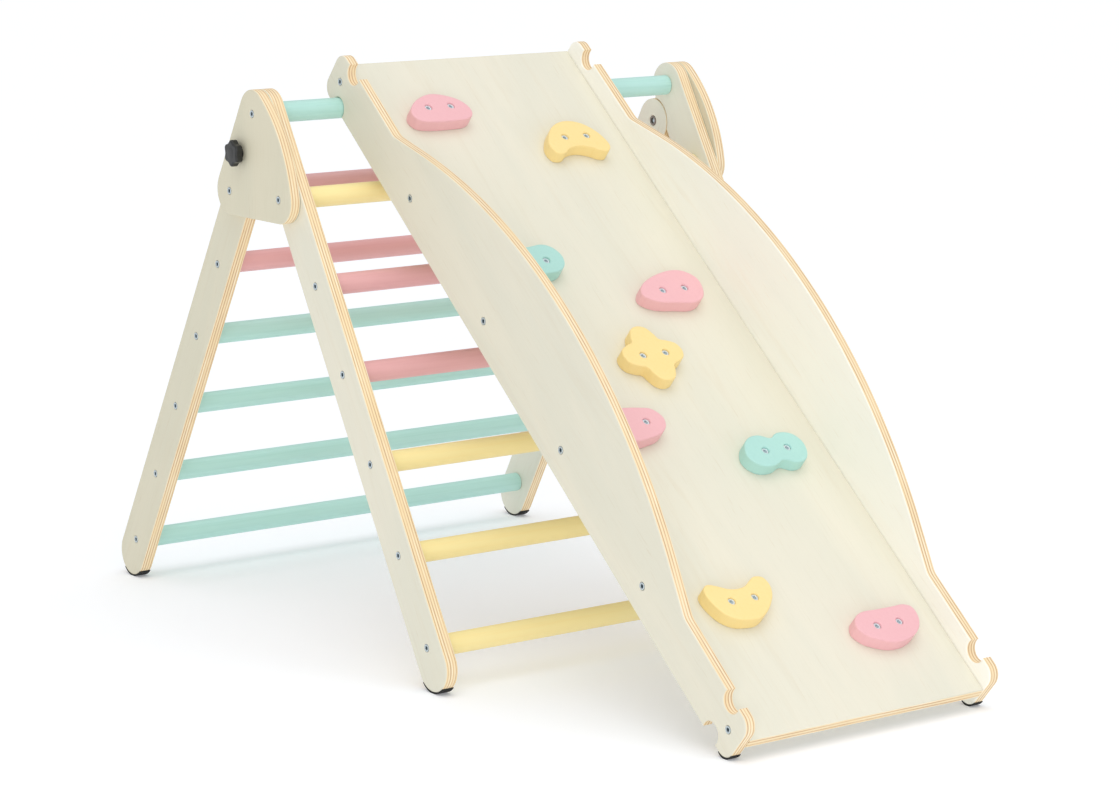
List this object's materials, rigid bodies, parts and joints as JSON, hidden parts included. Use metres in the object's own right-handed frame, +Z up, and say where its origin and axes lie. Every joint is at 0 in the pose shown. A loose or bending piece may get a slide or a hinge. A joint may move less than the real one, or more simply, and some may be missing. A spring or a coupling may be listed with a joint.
{
  "type": "toddler climbing triangle with ramp slide",
  "caption": "Folding plywood climbing triangle with round pastel rungs, and a hook-on ramp with wave-edged walls and screwed-on climbing holds.",
  "frame": {"origin": "centre of the overall box, on the floor", "axes": "+X down the ramp, +Y along the rungs, +Z up"},
  "size_m": [1.3022, 0.7512, 0.7731],
  "materials": {
    "birch_plywood": "clear matt lacquer, pale cream, with striped edges",
    "turquoise_paint": "satin paint on wood",
    "pink_paint": "satin paint on wood",
    "yellow_paint": "satin paint on wood",
    "black_knob": "moulded, satin",
    "rubber": "matt",
    "zinc": "bright zinc plating"
  },
  "bodies": {
    "front_ladder": {"front_rail_left": "birch_plywood", "front_rail_right": "birch_plywood", "top_rung": "turquoise_paint", "front_rung_1": "yellow_paint", "front_rung_2": "pink_paint", "front_rung_3": "pink_paint", "front_rung_4": "yellow_paint", "front_rung_5": "yellow_paint", "front_rung_6": "yellow_paint", "front_foot_left": "rubber", "front_foot_right": "rubber", "front_rung_2_screw_left": "zinc", "front_rung_2_screw_right": "zinc", "front_rung_3_screw_left": "zinc", "front_rung_3_screw_right": "zinc", "front_rung_4_screw_left": "zinc", "front_rung_4_screw_right": "zinc", "front_rung_5_screw_left": "zinc", "front_rung_5_screw_right": "zinc", "front_rung_6_screw_left": "zinc", "front_rung_6_screw_right": "zinc", "gusset_left": "birch_plywood", "gusset_right": "birch_plywood", "top_rung_screw_left": "zinc", "top_rung_screw_right": "zinc", "front_rung_1_screw_left": "zinc", "front_rung_1_screw_right": "zinc", "pivot_screw_left": "zinc", "pivot_screw_right": "zinc"},
    "rear_ladder": {"rear_rail_left": "birch_plywood", "rear_rail_right": "birch_plywood", "rear_rung_1": "pink_paint", "rear_rung_2": "pink_paint", "rear_rung_3": "turquoise_paint", "rear_rung_4": "turquoise_paint", "rear_rung_5": "turquoise_paint", "rear_rung_6": "turquoise_paint", "rear_foot_left": "rubber", "rear_foot_right": "rubber", "insert_left": "zinc", "insert_right": "zinc"},
    "knob_left": {"knob_left": "black_knob", "knob_stud_left": "zinc"},
    "knob_right": {"knob_right": "black_knob", "knob_stud_right": "zinc"},
    "ramp": {"ramp_wall_left": "birch_plywood", "ramp_wall_right": "birch_plywood", "ramp_deck": "birch_plywood", "ramp_foot_left": "rubber", "ramp_foot_right": "rubber", "hold_pink_teardrop": "pink_paint", "hold_yellow_hook": "yellow_paint", "hold_turquoise_pebble": "turquoise_paint", "hold_pink_stone": "pink_paint", "hold_yellow_flower": "yellow_paint", "hold_pink_wedge": "pink_paint", "hold_turquoise_peanut": "turquoise_paint", "hold_yellow_crescent": "yellow_paint", "hold_pink_bean": "pink_paint"}
  },
  "joints": [
    {"name": "rear_fold", "type": "hinge", "parent": "front_ladder", "child": "rear_ladder", "pos_m": [-0.28872, 0, 0.59486], "axis": [0, -1, 0], "range_deg": [0, 61]},
    {"name": "knob_left_turn", "type": "hinge", "parent": "rear_ladder", "child": "knob_left", "pos_m": [-0.257, -0.3686, 0.64871], "axis": [0, 1, 0], "continuous": true},
    {"name": "knob_right_turn", "type": "hinge", "parent": "rear_ladder", "child": "knob_right", "pos_m": [-0.257, 0.3686, 0.64871], "axis": [0, 1, 0], "continuous": true},
    {"name": "ramp_tilt", "type": "hinge", "parent": "front_ladder", "child": "ramp", "pos_m": [-0.22528, 0, 0.70256], "axis": [0, -1, 0], "range_deg": [0, 40]}
  ]
}
